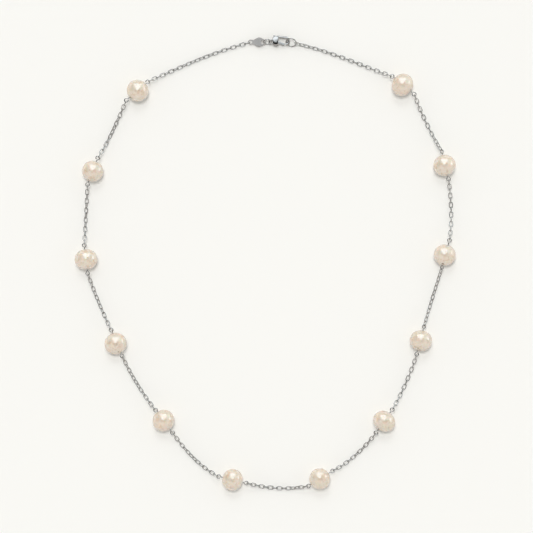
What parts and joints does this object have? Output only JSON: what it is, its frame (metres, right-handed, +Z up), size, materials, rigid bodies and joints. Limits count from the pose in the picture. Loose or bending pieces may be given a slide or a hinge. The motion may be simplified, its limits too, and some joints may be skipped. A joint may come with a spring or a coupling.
{
  "type": "station necklace",
  "caption": "Station necklace of near-round pearls set at even steps along a fine oval cable chain, closed by a trigger clasp beside a plain oval tag, lying as an open loop.",
  "frame": {"origin": "on the surface that the necklace lies on, under the middle of its outline", "axes": "+Z up from the surface, +Y from the loop's middle toward the clasp"},
  "size_m": [0.1316, 0.1573, 0.008],
  "materials": {
    "nacre": "cream nacre with a soft satin lustre",
    "white_gold": "polished white gold"
  },
  "bodies": {
    "necklace": {"pearl_01": "nacre", "pearl_02": "nacre", "pearl_03": "nacre", "pearl_04": "nacre", "pearl_05": "nacre", "pearl_06": "nacre", "pearl_07": "nacre", "pearl_08": "nacre", "pearl_09": "nacre", "pearl_10": "nacre", "pearl_11": "nacre", "pearl_12": "nacre", "pin_01": "white_gold", "pin_02": "white_gold", "pin_03": "white_gold", "pin_04": "white_gold", "pin_05": "white_gold", "pin_06": "white_gold", "pin_07": "white_gold", "pin_08": "white_gold", "pin_09": "white_gold", "pin_10": "white_gold", "pin_11": "white_gold", "pin_12": "white_gold", "chain_01": "white_gold", "chain_02": "white_gold", "chain_03": "white_gold", "chain_04": "white_gold", "chain_05": "white_gold", "chain_06": "white_gold", "chain_07": "white_gold", "chain_08": "white_gold", "chain_09": "white_gold", "chain_10": "white_gold", "chain_11": "white_gold", "chain_12": "white_gold", "chain_13": "white_gold", "end_ring": "white_gold", "clasp_body": "white_gold", "clasp_rivet": "white_gold", "jump_ring": "white_gold", "tag": "white_gold"},
    "lever": {"clasp_lever": "white_gold"}
  },
  "joints": [
    {"name": "lever_hinge", "type": "hinge", "parent": "necklace", "child": "lever", "pos_m": [0.00366, 0.0764, 0.00141], "axis": [0, 0, 1], "range_deg": [0, 24], "stiffness_Nm_per_rad": 0.0005, "springref_deg": -11.46}
  ]
}
